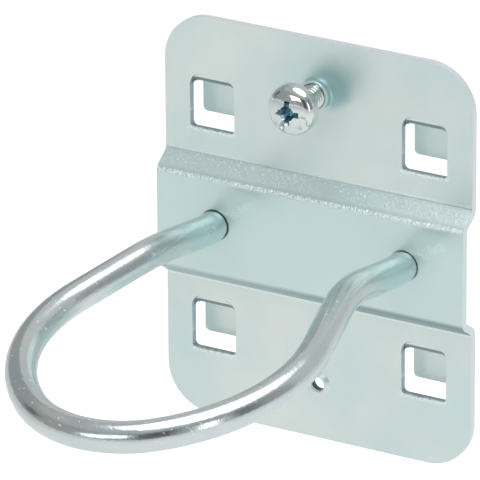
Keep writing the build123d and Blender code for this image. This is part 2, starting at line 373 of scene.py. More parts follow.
start_clean()
bpy.ops.mesh.primitive_plane_add(size=TAB_WIDTH, location=(0, FLANGE_FRONT, TAB_BEND_START))
tab = keep("hook_tab")
pick(tab, "vertices", lambda middle, corners: middle.y > FLANGE_FRONT)
bpy.ops.mesh.delete(type="VERT")
pick(tab, "edges", everything)
bpy.ops.transform.translate(value=(0, TAB_WIDTH / 2, 0))
first_centre = Vector((0, FLANGE_FRONT + TAB_BEND_OUTER, TAB_BEND_START))
bend(radians(90), first_centre, (1, 0, 0))
run_on((0, TAB_GAP - TAB_BEND_INNER - first_centre.y, 0))
second_height = TAB_BEND_START - TAB_BEND_OUTER - TAB_BEND_INNER
second_centre = Vector((0, TAB_GAP - TAB_BEND_INNER, second_height))
bend(radians(-90), second_centre, (1, 0, 0))
run_on((0, 0, -TAB_DROP - second_centre.z))
pick(tab, "vertices", lambda middle, corners: middle.z < -TAB_DROP + TINY)
bpy.ops.mesh.bevel(offset=TAB_CORNER, offset_type="OFFSET", segments=6, affect="VERTICES")
turn_outwards()
for vertex in tab.data.vertices:
    if vertex.co.y < first_centre.y:
        above = max(0, 1 - (TAB_BEND_START - vertex.co.z) / WINDOW_ROOT_CORNER)
        half = TAB_ROOT_WIDTH / 2 + (TAB_WIDTH - TAB_ROOT_WIDTH) / 2 * sqrt(1 - min(1, above) ** 2)
        vertex.co.x = half if vertex.co.x > 0 else -half
thicken(tab, max(tab.data.polygons, key=lambda face: face.center.z))
report(tab)

# %% Break the tab's edges and set four tabs into the plate
round_sharp_edges(tab, EDGE_BREAK, lambda point: point.z < TAB_BEND_START - LOOSE)
tabs = [copy_of(tab, f"hook_tab_{i}", place) for i, place in enumerate(window_places)]
bpy.data.objects.remove(tab)
print("tabs set:", len(tabs))

# %% [markdown]
# The slit on each side of a tab ends round, as the corner of the punch does. Such an end is a small block in
# the window's upper corner, with a round hole drilled out of it, and Mirror adds the one on the other side.

# %% Round ends of the slits beside the tabs
SLIT_END_RADIUS = 0.9 * MM
SLIT_END_HEIGHT = 3.66 * MM
SLIT_END_FRONT, SLIT_END_BACK = -0.42 * MM, -0.02 * MM
INTO_WALL, INTO_TAB = 0.1 * MM, 0.3 * MM
MIRROR_X = (True, False, False)

end_depth = SLIT_END_BACK - SLIT_END_FRONT
end_size = Vector((SLIT_END_RADIUS + INTO_WALL, end_depth, SLIT_END_RADIUS + INTO_TAB))
end_middle = (SLIT_END_FRONT + SLIT_END_BACK) / 2
arc_centre = Vector((WINDOW / 2 - SLIT_END_RADIUS, end_middle, SLIT_END_HEIGHT - SLIT_END_RADIUS))
slit_end = block("slit_end", end_size, arc_centre + Vector((end_size.x, 0, end_size.z)) / 2)
combine(slit_end, pin(SLIT_END_RADIUS, arc_centre), "DIFFERENCE")
use_modifier(slit_end, "both_sides", "MIRROR", use_axis=MIRROR_X, use_mirror_merge=False)
slit_ends = [copy_of(slit_end, f"slit_end_{i}", place) for i, place in enumerate(window_places)]
report(slit_end)
bpy.data.objects.remove(slit_end)

# %% [markdown]
# ## The rim of the small hole and the collar of the screw hole
# A pointed punch pushes a little metal forward round a small hole and leaves a rim like a tiny crater. Round
# the screw hole the punch draws a whole collar forward, which gives the thread more metal than the thin sheet
# has. Both are turned as on a lathe: a circle is extruded forward and scaled, ring after ring, into the hole,
# and closed inside the sheet.

# %% Turn the rim and the collar
def open_circle(name, radius, place, rotation):
    """A circle, selected in edit mode, from which a round piece is drawn out."""
    start_clean()
    bpy.ops.mesh.primitive_circle_add(
        vertices=ROUND_VERTICES, radius=radius, location=place, rotation=rotation
    )
    made = keep(name)
    bpy.ops.object.mode_set(mode="EDIT")
    bpy.ops.mesh.select_all(action="SELECT")
    return made


def lathe_start(name, axis_point, first):
    """The first ring of a turned piece, by its depth and radius."""
    return open_circle(name, first[1], (axis_point[0], first[0], axis_point[1]), FACING_Y)


def lathe_along(axis_point, last, rings):
    """Carries the selected last ring on through more rings of depth and radius."""
    for y, radius in rings:
        run_on((0, y - last[0], 0))
        scale = radius / last[1]
        middle = (axis_point[0], y, axis_point[1])
        bpy.ops.transform.resize(value=(scale, 1, scale), center_override=middle)
        last = (y, radius)


def lathe_close():
    """Closes the last ring with a face."""
    bpy.ops.mesh.edge_face_add()
    turn_outwards()


def raised_round(name, axis_point, rings):
    """Turns a raised round from rings of forward distance and radius in millimetres, and closes it."""
    first, *others = [(FLANGE_FRONT - ahead * MM, radius * MM) for ahead, radius in rings]
    made = lathe_start(name, axis_point, first)
    lathe_along(axis_point, first, others)
    pick_open_edges()
    bpy.ops.mesh.bridge_edge_loops()
    turn_outwards()
    return made


rim = raised_round("pierced_rim", (0, PIERCED_HEIGHT), (
    (-0.05, 2.2), (0.0, 2.2), (0.12, 2.02), (0.3, 1.76), (0.42, 1.58), (0.45, 1.44), (0.41, 1.3),
    (0.3, 1.21), (-0.3, 1.2),
))
collar = raised_round("screw_collar", (0, SCREW_HEIGHT), (
    (-0.05, 2.9), (0.0, 2.9), (0.03, 2.75), (0.12, 2.62), (0.25, 2.53), (0.4, 2.5), (1.2, 2.5), (1.32, 2.47),
    (1.38, 2.41), (1.4, 2.32), (1.4, 2.18), (1.34, 2.08), (1.2, 2.06), (-0.4, 2.06),
))
report(rim)
report(collar)

# %% Join the plate
work_on(plate)
for part in tabs + slit_ends + [rim, collar]:
    part.select_set(True)
bpy.ops.object.join()
smooth(plate)
use_modifier(plate, "flat_shading", "WEIGHTED_NORMAL", mode="FACE_AREA", weight=100, keep_sharp=True)
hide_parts("base_plate")
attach(plate, "holder")
report(plate)

# %% [markdown]
# ## The wire ring
# The ring is one straight bar bent in a wire former, so it is made the same way: a circle is carried round
# each bend with spin and straight on with extrude. Only lines and true arcs occur, as on the real wire. The
# right half is made from the front of the loop back to the plate, and Mirror adds the left half.

# %% The ring's bends, worked out from its sizes
WIRE_RADIUS = 2.5 * MM
STUB_SQUARE, STUB_REACH = 1.5 * MM, 18.6 * MM
RISE_RADIUS, TURN_RADIUS = 15 * MM, 25 * MM
LEG_LENGTH, SIDE_RADIUS = 17.6 * MM, 30.5 * MM
rise, droop, spread, side_end = radians(9.5), radians(8.0), radians(13.5), radians(50.5)

square = Vector((0, 1, 0))
rising = Vector((0, cos(rise), -sin(rise)))
forward = Vector((0, -cos(droop), -sin(droop)))
loop_up = Vector((0, -sin(droop), cos(droop)))
leg = -(Vector((sin(spread), 0, 0)) + forward * cos(spread))
root = Vector((STUB_X, BAND_FRONT, STUB_HEIGHT))
first_reach = STUB_SQUARE + RISE_RADIUS * tan(rise / 2)
first_corner = root - square * first_reach
corner = first_corner - rising * (STUB_REACH - first_reach)


def loop_point(x, along):
    """A point of the loop's plane, by its distance from the middle and along the loop."""
    return Vector((x, corner.y, corner.z)) + forward * along


def arc_between(corner_point, way_in, way_out, radius):
    """Start, end, angle, centre and axis of the arc that rounds a corner of the wire."""
    angle = acos(max(-1, min(1, way_in.dot(way_out))))
    reach = radius * tan(angle / 2)
    inward = (way_out - way_in).normalized()
    centre = corner_point + inward * (radius / cos(angle / 2))
    axis = way_in.cross(way_out).normalized()
    return corner_point - way_in * reach, corner_point + way_out * reach, angle, centre, axis


side_x = STUB_X + LEG_LENGTH * sin(spread) - SIDE_RADIUS * cos(spread)
side_along = LEG_LENGTH * cos(spread) + SIDE_RADIUS * sin(spread)
front_radius = SIDE_RADIUS + side_x / cos(side_end)
front_along = side_along + (SIDE_RADIUS - front_radius) * sin(side_end)
front_centre = loop_point(0, front_along)
side_centre = loop_point(side_x, side_along)
tip = loop_point(0, front_along + front_radius)
leg_end = loop_point(STUB_X + LEG_LENGTH * sin(spread), LEG_LENGTH * cos(spread))
turn_start, turn_end, *turn_arc = arc_between(corner, leg, rising, TURN_RADIUS)
rise_start, rise_end, *rise_arc = arc_between(first_corner, rising, square, RISE_RADIUS)
print("front radius mm", round(front_radius / MM, 2), "reach mm", round(-tip.y / MM, 2))

# %% Bend the wire
SHADOW_GAP = 0.16 * MM
END_CHAMFER = 0.12 * MM
TENON_RADIUS = 2.0 * MM
RIVET_RADIUS, RIVET_HEIGHT = 3.2 * MM, 1.1 * MM
RIVET_TUCK, RIVET_FOOT = 0.1 * MM, 0.12 * MM
RIVET_DOME = ((0.4, 1.0), (0.72, 0.9), (0.92, 0.7), (1.0, 0.4))
BAND_BACK = -BAND_STEP

ring = open_circle("wire_loop", WIRE_RADIUS, tip, FACING_X)
bend(radians(90) - side_end, front_centre, loop_up)
bend(side_end + spread, side_centre, loop_up)
run_on(turn_start - leg_end)
bend(*turn_arc)
run_on(rise_start - turn_end)
bend(*rise_arc)
shoulder = BAND_FRONT - SHADOW_GAP
run_on((0, shoulder - END_CHAMFER - rise_end.y, 0))
stub_profile = [
    (shoulder - END_CHAMFER * 0.35, WIRE_RADIUS - END_CHAMFER * 0.3),
    (shoulder, WIRE_RADIUS - END_CHAMFER), (shoulder, TENON_RADIUS), (BAND_BACK, TENON_RADIUS),
    (BAND_BACK, RIVET_RADIUS - RIVET_TUCK), (BAND_BACK + RIVET_FOOT, RIVET_RADIUS),
]
stub_profile += [(BAND_BACK + up * RIVET_HEIGHT, RIVET_RADIUS * out) for up, out in RIVET_DOME]
lathe_along((STUB_X, STUB_HEIGHT), (shoulder - END_CHAMFER, WIRE_RADIUS), stub_profile)
lathe_close()
use_modifier(ring, "left_half", "MIRROR", use_axis=MIRROR_X, use_clip=True, merge_threshold=0.01 * MM)
pick(ring, "polygons", everything)
bpy.ops.mesh.remove_doubles(threshold=WELD)
turn_outwards()
smooth(ring)
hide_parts("wire_ring")
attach(ring, "holder")
report(ring)

# %% [markdown]
# ## The clamp screw
# A short pan-head screw goes through the upper flange. Its head is turned ring by ring like the rim: a flat
# underside, a short straight rim, a round edge and a low crown, where the two arcs meet without a kink.

# %% Turn the head and the core of the shank
SCREW_STANDOFF = 6.8 * MM
HEAD_RADIUS, HEAD_HEIGHT = 4.15 * MM, 3.1 * MM
HEAD_RIM, HEAD_EDGE = 0.9 * MM, 1.8 * MM
THREAD_CREST, THREAD_CORE, THREAD_PITCH = 2.0 * MM, 1.6 * MM, 0.7 * MM
HEAD_CHAMFER, SHANK_CHAMFER = 0.12 * MM, 0.3 * MM
ARC_STEPS = 8
head_under = FLANGE_FRONT - SCREW_STANDOFF
head_top = head_under - HEAD_HEIGHT
dome = HEAD_HEIGHT - HEAD_RIM
edge_in = HEAD_RADIUS - HEAD_EDGE
crown = (edge_in**2 + dome**2 - HEAD_EDGE**2) / (2 * (dome - HEAD_EDGE))
blend_angle = atan2(crown - dome, edge_in)

profile = [
    (-SHANK_CHAMFER, THREAD_CORE), (head_under, THREAD_CORE), (head_under, HEAD_RADIUS - HEAD_CHAMFER),
    (head_under - HEAD_CHAMFER, HEAD_RADIUS), (head_under - HEAD_RIM, HEAD_RADIUS),
]
for step in range(1, ARC_STEPS + 1):
    turn = blend_angle * step / ARC_STEPS
    profile.append((head_under - HEAD_RIM - HEAD_EDGE * sin(turn), edge_in + HEAD_EDGE * cos(turn)))
crown_angle = pi / 2 - blend_angle
for step in range(1, ARC_STEPS):
    turn = crown_angle * (1 - step / ARC_STEPS)
    profile.append((head_top + crown - crown * cos(turn), crown * sin(turn)))

screw_axis = (0, SCREW_HEIGHT)
shank_tip = (0.0, THREAD_CORE - SHANK_CHAMFER)
screw = lathe_start("pan_head_screw", screw_axis, shank_tip)
bpy.ops.mesh.edge_face_add()
lathe_along(screw_axis, shank_tip, profile)
lathe_close()
report(screw)

# %% [markdown]
# ## The cross recess
# A driver bit needs a cross whose four wings narrow and slope inwards with depth, round a pointed pocket in
# the middle. Two tapered blocks and a cone make the cutter: each block is a cube whose deep face is drawn in,
# and Boolean sinks the three together into the head. The slivers that it leaves are dissolved.

# %% Sink the cross recess
RECESS_SPAN, RECESS_WIDTH, RECESS_DEPTH = 4.4 * MM, 1.05 * MM, 1.75 * MM
RECESS_DEEP_SPAN, RECESS_DEEP_WIDTH = 1.9 * MM, 0.7 * MM
POCKET_RADIUS, POCKET_DEEP_RADIUS, POCKET_DEPTH = 1.4 * MM, 0.3 * MM, 2.1 * MM
WING_LEAD, POCKET_LEAD = 0.6 * MM, 0.2 * MM
SLIVER = 0.004 * MM


def recess_wing(turned):
    """One tapered block across the head, along X or along Z."""
    slope = (RECESS_SPAN - RECESS_DEEP_SPAN) / RECESS_DEPTH
    wide, deep = RECESS_SPAN + slope * WING_LEAD, RECESS_DEPTH + WING_LEAD
    size = (RECESS_WIDTH, deep, wide) if turned else (wide, deep, RECESS_WIDTH)
    wing = block("recess_wing", size, (0, head_top + (RECESS_DEPTH - WING_LEAD) / 2, SCREW_HEIGHT))
    pick(wing, "polygons", lambda middle, corners: middle.y > head_top + RECESS_DEPTH - TINY)
    narrow = RECESS_DEEP_WIDTH / RECESS_WIDTH
    short = RECESS_DEEP_SPAN / wide
    value = (narrow, 1, short) if turned else (short, 1, narrow)
    bpy.ops.transform.resize(value=value, center_override=(0, head_top + RECESS_DEPTH, SCREW_HEIGHT))
    edit_done()
    return wing


cutter = recess_wing(False)
combine(cutter, recess_wing(True), "UNION")
start_clean()
bpy.ops.mesh.primitive_cone_add(
    vertices=24, radius1=POCKET_RADIUS, radius2=POCKET_DEEP_RADIUS, depth=POCKET_DEPTH,
    location=(0, head_top + POCKET_DEPTH / 2 - POCKET_LEAD, SCREW_HEIGHT), rotation=(-radians(90), 0, 0),
)
combine(cutter, keep("recess_pocket"), "UNION")
combine(screw, cutter, "DIFFERENCE")
pick(screw, "polygons", everything)
bpy.ops.mesh.remove_doubles(threshold=SLIVER)
bpy.ops.mesh.dissolve_degenerate(threshold=SLIVER)
edit_done()
report(screw)

# %% [markdown]
# ## The thread
# The thread is a ridge wound round the core. One slice of the ridge is drawn beside the axis and the Screw
# modifier winds it up; the two open ends are then closed. Its crest stays just inside the plate's hole.

# %% Wind the thread
RIDGE_ROOT, RIDGE_FLAT, RIDGE_SINK = 0.31 * MM, 0.06 * MM, 0.1 * MM
FIRST_TURN = 0.5 * MM
THREAD_TURNS, STEPS_PER_TURN = 10, 40

start_clean()
bpy.ops.mesh.primitive_plane_add(size=1, location=(0, 0, SCREW_HEIGHT))
thread = bpy.context.object
thread.name = "screw_thread"
slice_corners = [
    (THREAD_CORE - RIDGE_SINK, -RIDGE_ROOT), (THREAD_CREST, -RIDGE_FLAT),
    (THREAD_CREST, RIDGE_FLAT), (THREAD_CORE - RIDGE_SINK, RIDGE_ROOT),
]
order = sorted(thread.data.vertices, key=lambda v: atan2(v.co.y, v.co.x))
centre_x = sum(x for x, y in slice_corners) / len(slice_corners)
slice_order = sorted(slice_corners, key=lambda c: atan2(c[1], c[0] - centre_x))
for vertex, (x, y) in zip(order, slice_order):
    vertex.co = (x, head_under + FIRST_TURN + y, 0)
pick(thread, "polygons", everything)
bpy.ops.mesh.delete(type="ONLY_FACE")
edit_done()
use_modifier(
    thread, "winding", "SCREW", axis="Y", angle=2 * pi, screw_offset=THREAD_PITCH, iterations=THREAD_TURNS,
    steps=STEPS_PER_TURN, render_steps=STEPS_PER_TURN, use_normal_calculate=True,
)
settle(thread)
bpy.ops.object.mode_set(mode="EDIT")
pick_open_edges()
bpy.ops.mesh.fill()
turn_outwards()
report(thread)
work_on(screw)
thread.select_set(True)
bpy.ops.object.join()
smooth(screw)
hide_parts("clamp_screw")
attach(screw, "screw")
report(screw)

# %% [markdown]
# ## Zinc plating
# Bright zinc is a metal skin with a faint cast that drifts between grey and green-blue. Four things keep it
# from looking like a mirror: a thin milky film over the metal, the slow cloudiness of the tint, patches that
# are a little duller than others, and a fine orange-peel grain that breaks up reflections. The last three
# come from noise on Object coordinates, so they stay on the piece when it moves.

# %% Node helpers
def plug(value, socket):
    """Gives a socket a plain value, or links another node's output to it."""
    if isinstance(value, bpy.types.NodeSocket):
        socket.id_data.links.new(value, socket)
    else:
        socket.default_value = value


def add_node(tree, kind, inputs, **settings):
    """Adds a node of this kind with these settings and inputs."""
    made = tree.nodes.new("ShaderNode" + kind)
    for key, value in settings.items():
        setattr(made, key, value)
    for socket, value in inputs.items():
        plug(value, made.inputs[socket])
    return made


def maths(tree, operation, *values):
    """The result of one Math node, from plain values or other nodes' outputs."""
    return add_node(tree, "Math", dict(enumerate(values)), operation=operation).outputs[0]


def place_of(finish):
    """The Object coordinates of a finish."""
    return finish.node_tree.nodes["place"].outputs["Object"]


def noise(finish, grain_size, detail, roughness=0.5):
    """Even noise of a given grain on the piece."""
    settings = {"Scale": 1 / grain_size, "Detail": detail, "Roughness": roughness, "Vector": place_of(finish)}
    return add_node(finish.node_tree, "TexNoise", settings).outputs["Fac"]


# %% A zinc finish
TINT_LIMITS = (0.36, 0.66)
PATCH_LIMITS = (0.3, 0.7)
PATCHES_PER_CLOUD = 3.1


def zinc_finish(name, tints, metal, dullness, grain_size, grain_height, cloud_size):
    """Builds one plated metal from its two tints, its share of clear metal, its dullness and its grain."""
    finish = bpy.data.materials.new(name)
    finish.use_nodes = True
    tree = finish.node_tree
    add_node(tree, "TexCoord", {}, name="place")
    tint = add_node(tree, "ValToRGB", {"Fac": noise(finish, cloud_size, 3, 0.55)})
    for stop, position, colour in zip(tint.color_ramp.elements, TINT_LIMITS, tints):
        stop.position = position
        stop.color = (*colour, 1)
    dull = add_node(tree, "MapRange", {
        "Value": noise(finish, cloud_size / PATCHES_PER_CLOUD, 4),
        "From Min": PATCH_LIMITS[0], "From Max": PATCH_LIMITS[1],
        "To Min": dullness[0], "To Max": dullness[1],
    })
    relief = add_node(tree, "Bump", {
        "Strength": 1.0, "Distance": grain_height, "Height": noise(finish, grain_size, 2),
    })
    shader = tree.nodes["Principled BSDF"].inputs
    plug(metal, shader["Metallic"])
    plug(tint.outputs["Color"], shader["Base Color"])
    plug(dull.outputs["Result"], shader["Roughness"])
    plug(relief.outputs["Normal"], shader["Normal"])
    return finish


def dress(piece, finish):
    """Gives the whole piece one finish."""
    piece.data.materials.clear()
    piece.data.materials.append(finish)


plate_finish = zinc_finish(
    "satin_zinc_sheet", tints=((0.71, 0.86, 0.85), (0.83, 0.90, 0.86)), metal=0.56, dullness=(0.28, 0.36),
    grain_size=1.6 * MM, grain_height=0.002 * MM, cloud_size=20 * MM,
)
wire_finish = zinc_finish(
    "bright_zinc_wire", tints=((0.64, 0.74, 0.76), (0.74, 0.78, 0.77)), metal=0.93, dullness=(0.14, 0.24),
    grain_size=0.45 * MM, grain_height=0.02 * MM, cloud_size=9 * MM,
)
screw_finish = zinc_finish(
    "polished_zinc_screw", tints=((0.70, 0.78, 0.78), (0.80, 0.84, 0.82)), metal=0.95, dullness=(0.08, 0.14),
    grain_size=0.4 * MM, grain_height=0.003 * MM, cloud_size=4 * MM,
)
dress(plate, plate_finish)
dress(ring, wire_finish)
dress(screw, screw_finish)
print("finishes:", [m.name for m in (plate_finish, wire_finish, screw_finish)])

# %% [markdown]
# ## Marks of the press, and painted light and shade
# Some places look different, partly because of how the holder was made and partly because light and
# shade are painted into their colour. Each lies at a known place, so a mask made from Object coordinates
# finds it. A soft step of one coordinate gives an edge of a mask, and steps multiplied together give a zone.
# Inside a zone another colour or a coarser relief is mixed in.

# %% Zones from coordinates
def apart(value, around):
    """How far a value lies from a given number, in either direction."""
    return maths(value.id_data, "ABSOLUTE", maths(value.id_data, "SUBTRACT", value, around))


def coordinate(finish, axis, around=0.0):
    """The distance along one axis, in either direction, from a given place."""
    split = add_node(finish.node_tree, "SeparateXYZ", {"Vector": place_of(finish)})
    return apart(split.outputs[axis], around)


def fade(value, start, end):
    """A soft step of a value, from 0 at start to 1 at end."""
    limits = {"Value": value, "From Min": start, "From Max": end}
    return add_node(value.id_data, "MapRange", limits, interpolation_type="SMOOTHSTEP").outputs["Result"]


def near(finish, axis, around, gone, full):
    """A zone round a place on one axis, full up to one distance and gone at another, in millimetres."""
    return fade(coordinate(finish, axis, around), gone * MM, full * MM)


def zone_of(*steps):
    """Multiplies several steps into one zone."""
    zone = steps[0]
    for step in steps[1:]:
        zone = maths(zone.id_data, "MULTIPLY", zone, step)
    return zone


def length_of(vector):
    """The length of a vector."""
    return add_node(vector.id_data, "VectorMath", {0: vector}, operation="LENGTH").outputs["Value"]


def round_spot(finish, centre_x, centre_z, half_width, half_height):
    """The distance from a place seen from the front, counted so that an oval of this size lies at 1."""
    oval = add_node(finish.node_tree, "Mapping", {
        "Vector": place_of(finish),
        "Location": (-centre_x / half_width, 0, -centre_z / half_height),
        "Scale": (1 / half_width, 0, 1 / half_height),
    })
    return length_of(oval.outputs["Vector"])


def current(socket):
    """What a socket has now: the output linked to it, or else its own value."""
    return socket.links[0].from_socket if socket.links else socket.default_value


def recolour(zone, colour, metal=None):
    """Mixes another colour into the metal inside a zone, and if asked another share of clear metal."""
    tree = zone.id_data
    shader = tree.nodes["Principled BSDF"].inputs
    if metal is not None:
        blend = add_node(tree, "Mix", {0: zone, 2: current(shader["Metallic"]), 3: metal})
        plug(blend.outputs[0], shader["Metallic"])
    base = {0: zone, 6: current(shader["Base Color"]), 7: (*colour, 1)}
    plug(add_node(tree, "Mix", base, data_type="RGBA").outputs[2], shader["Base Color"])


def roughen(zone, height, grain_height, extra_dull):
    """Adds a relief and some dullness inside a zone, on top of what is there."""
    tree = zone.id_data
    shader = tree.nodes["Principled BSDF"].inputs
    bump = add_node(tree, "Bump", {
        "Strength": zone, "Distance": grain_height, "Height": height, "Normal": current(shader["Normal"]),
    })
    plug(bump.outputs["Normal"], shader["Normal"])
    plug(maths(tree, "MULTIPLY_ADD", zone, extra_dull, current(shader["Roughness"])), shader["Roughness"])


print("zone helpers ready")

# %% [markdown]
# Where the press stretched the sheet, on the upper sloped strip, the plating has a coarse sparkling grain.
# That strip is painted lighter towards the right as a painted highlight, and pale specks along the outer fold
# and by the upper crease are painted glints. The lower strip faces down and gets painted shade, darker
# towards the right, with a painted highlight along its foot. A thin dark line of painted shade marks the
# upper crease, and the plate's side walls are a little bluer than its front.

# %% Sparkling folds, a greener band, and painted light and shade on the folds
SPARKLE_GRAIN, SPARKLE_HEIGHT = 0.42 * MM, 0.07 * MM
RIDGE_GRAIN, RIDGE_HEIGHT = 0.55 * MM, 0.14 * MM
slope_middle = (BAND_HALF_HEIGHT + BAND_FOOT) / 2
foot_from_below = PLATE_HEIGHT - BAND_FOOT

up_down = coordinate(plate_finish, "Z")
side_side = coordinate(plate_finish, "X")
from_left = coordinate(plate_finish, "X", -PLATE_WIDTH / 2)
from_below = coordinate(plate_finish, "Z", -PLATE_HEIGHT)
sparkle = noise(plate_finish, SPARKLE_GRAIN, 3)

on_band = fade(up_down, BAND_HALF_HEIGHT, BAND_HALF_HEIGHT - 1.0 * MM)
high_slope = near(plate_finish, "Z", slope_middle, gone=2.1, full=1.4)
lit_high_right = zone_of(high_slope, fade(from_left, 30 * MM, 52 * MM))
ridge = near(plate_finish, "Z", BAND_HALF_HEIGHT - 0.35 * MM, gone=0.45, full=0.2)
ridge_glints = zone_of(ridge, fade(sparkle, 0.45, 0.55))
by_crease = near(plate_finish, "Z", BAND_FOOT - 0.3 * MM, gone=1.4, full=0.6)
slope_glints = zone_of(by_crease, fade(sparkle, 0.56, 0.66))
above_foot = fade(from_below, foot_from_below - 0.05 * MM, foot_from_below + 0.1 * MM)
shaded_low_slope = zone_of(above_foot, near(plate_finish, "Z", -BAND_FOOT + 0.2 * MM, gone=2.8, full=1.5))
shaded_low_right = zone_of(shaded_low_slope, fade(from_left, 6 * MM, 40 * MM))
lit_foot_line = near(plate_finish, "Z", -BAND_FOOT - 0.2 * MM, gone=0.26, full=0.1)
crease = near(plate_finish, "Z", BAND_FOOT + 0.3 * MM, gone=0.2, full=0.06)
side_walls = fade(side_side, PLATE_WIDTH / 2 - 0.14 * MM, PLATE_WIDTH / 2 - 0.04 * MM)

roughen(high_slope, sparkle, SPARKLE_HEIGHT, -0.1)
roughen(ridge, noise(plate_finish, RIDGE_GRAIN, 3), RIDGE_HEIGHT, -0.06)
fold_tints_and_light = (  # zone, colour, and the share of clear metal where that changes too
    (on_band, (0.70, 0.85, 0.85), None),
    (high_slope, (0.73, 0.88, 0.88), None),
    # painted highlight: the upper strip lighter towards the right
    (lit_high_right, (0.85, 1.0, 1.0), 0.5),
    # painted glints: pale specks along the outer fold
    (ridge_glints, (0.84, 1.0, 1.0), 0.3),
    # painted glints: pale specks on the upper strip by the crease
    (slope_glints, (0.82, 0.98, 0.98), 0.4),
    # painted shade: the downward-facing lower strip darker, and darker still towards the right
    (shaded_low_slope, (0.41, 0.55, 0.55), None),
    (shaded_low_right, (0.25, 0.36, 0.38), None),
    # painted highlight: a pale line along the foot of the lower strip
    (lit_foot_line, (0.90, 1.0, 0.98), 0.2),
    # painted shade: a thin dark line in the upper crease
    (crease, (0.52, 0.62, 0.62), None),
    (side_walls, (0.80, 0.88, 0.93), 0.4),
)
for mark in fold_tints_and_light:
    recolour(*mark)
print("fold strips from", BAND_HALF_HEIGHT / MM, "to", BAND_FOOT / MM, "mm, marks:", len(fold_tints_and_light))

# %% [markdown]
# The cut edges of the sheet are a little bluer than its faces, and the cut walls of windows and holes get
# painted shade, deepest low in each window and inside the small hole. The front edge below each window has a
# grainy burr with painted glints, and above the window the bend of the tab gets painted shade where it turns
# away.

# %% Cut edges, windows and the small hole
SILL_GRAIN, SILL_HEIGHT = 0.6 * MM, 0.06 * MM
sideways = apart(side_side, GRID_HALF)


def window_strip(middle, half_height, soft):
    """A zone across all four windows, by its height over the grid points, in millimetres."""
    away = apart(coordinate(plate_finish, "Z", middle * MM), GRID_HALF)
    return fade(away, (half_height + soft) * MM, half_height * MM)


def window_arch(height, half_width):
    """The distance from a low wide core in each window, which grows over its top and round its corners."""
    tree = plate_finish.node_tree
    split = add_node(tree, "SeparateXYZ", {"Vector": place_of(plate_finish)})
    over_grid = maths(tree, "WRAP", split.outputs["Z"], 2 * GRID_HALF, 0)
    beyond = add_node(tree, "CombineXYZ", {})
    for value, core, axis in ((sideways, half_width, "X"), (over_grid, GRID_HALF + height, "Z")):
        past = maths(tree, "SUBTRACT", value, core)
        plug(maths(tree, "MAXIMUM", past, 0), beyond.inputs[axis])
    return length_of(beyond.outputs["Vector"])


depth = coordinate(plate_finish, "Y")
in_sheet = zone_of(
    fade(depth, SHEET - 0.04 * MM, SHEET - 0.24 * MM), fade(depth, 0.02 * MM, 0.12 * MM),
    fade(up_down, BAND_FOOT + 0.4 * MM, BAND_FOOT + 0.9 * MM),
)
inside_rim = zone_of(
    near(plate_finish, "Z", 0, gone=29, full=28), near(plate_finish, "X", 0, gone=25, full=24.2)
)
window_width = fade(sideways, 4.4 * MM, 4.2 * MM)
shaded_low_wall = zone_of(in_sheet, window_width, window_strip(-3.0, half_height=1.4, soft=0.3))
at_front = near(plate_finish, "Y", FLANGE_FRONT + 0.12 * MM, gone=0.3, full=0.16)
sill = zone_of(at_front, window_width, window_strip(-4.15, half_height=0.2, soft=0.1))
sill_grain = noise(plate_finish, SILL_GRAIN, 2)
from_bend = window_arch(3.3 * MM, 2.6 * MM)
tab_bend_shade = zone_of(
    near(plate_finish, "Y", -0.4 * MM, gone=1.1, full=0.9), window_strip(4.2, half_height=1.1, soft=0.4),
    fade(from_bend, 1.45 * MM, 1.3 * MM), fade(from_bend, 0.3 * MM, 0.6 * MM),
)
from_small_hole = round_spot(plate_finish, 0, PIERCED_HEIGHT, 1.4 * MM, 1.4 * MM)

roughen(sill, sill_grain, SILL_HEIGHT, -0.14)
cut_edge_tone_and_light = (
    (in_sheet, (0.82, 0.87, 0.92), None),
    # painted shade on the cut walls of windows and holes
    (zone_of(in_sheet, inside_rim), (0.55, 0.66, 0.69), None),
    # painted shade, deeper, on the lower walls of each window
    (shaded_low_wall, (0.36, 0.43, 0.47), None),
    # painted glints on the burr below each window
    (zone_of(sill, fade(sill_grain, 0.4, 0.5)), (0.9, 1.0, 1.0), 0.4),
    # painted shade on the bend of each tab
    (tab_bend_shade, (0.22, 0.31, 0.33), None),
    # painted shade on the wall of the small hole
    (zone_of(in_sheet, fade(from_small_hole, 1.05, 1.0)), (0.10, 0.12, 0.13), None),
)
for mark in cut_edge_tone_and_light:
    recolour(*mark)
print("marks on cut edges:", len(cut_edge_tone_and_light))

# %% [markdown]
# To the upper right of the screw the sheet has a teal patch of painted shadow and reflection, and beside each
# wire end a pale teal painted reflection of the wire. Pale streaks of painted reflection run away from the
# wire ends, and a dark ring of painted shade lies round each end, where it meets the band.

# %% Painted reflections, streaks and shade rings
SCREW_SHADOW_TEAL, STUB_REFLECTION_TEAL, STREAK_REFLECTION_PALE = (0.47, 0.67, 0.68), (0.70, 0.88, 0.88), (0.80, 1.0, 1.0)
STUB_RING_SHADE = (0.11, 0.16, 0.16)
REFLECTION_STREAK_PLACES = ((3.2, 2.5), (4.8, 3.5), (6.2, 4.3))


def by_stub(side, across, over, half_width, half_height):
    """The distance from a place beside a wire end, in ovals of this size; all in millimetres."""
    return round_spot(
        plate_finish, side * STUB_X + across * MM, STUB_HEIGHT + over * MM, half_width * MM, half_height * MM
    )


near_front = near(plate_finish, "Y", FLANGE_FRONT, gone=1.2, full=0.8)
from_screw = round_spot(plate_finish, 1.9 * MM, 26.2 * MM, 4.4 * MM, 3.8 * MM)
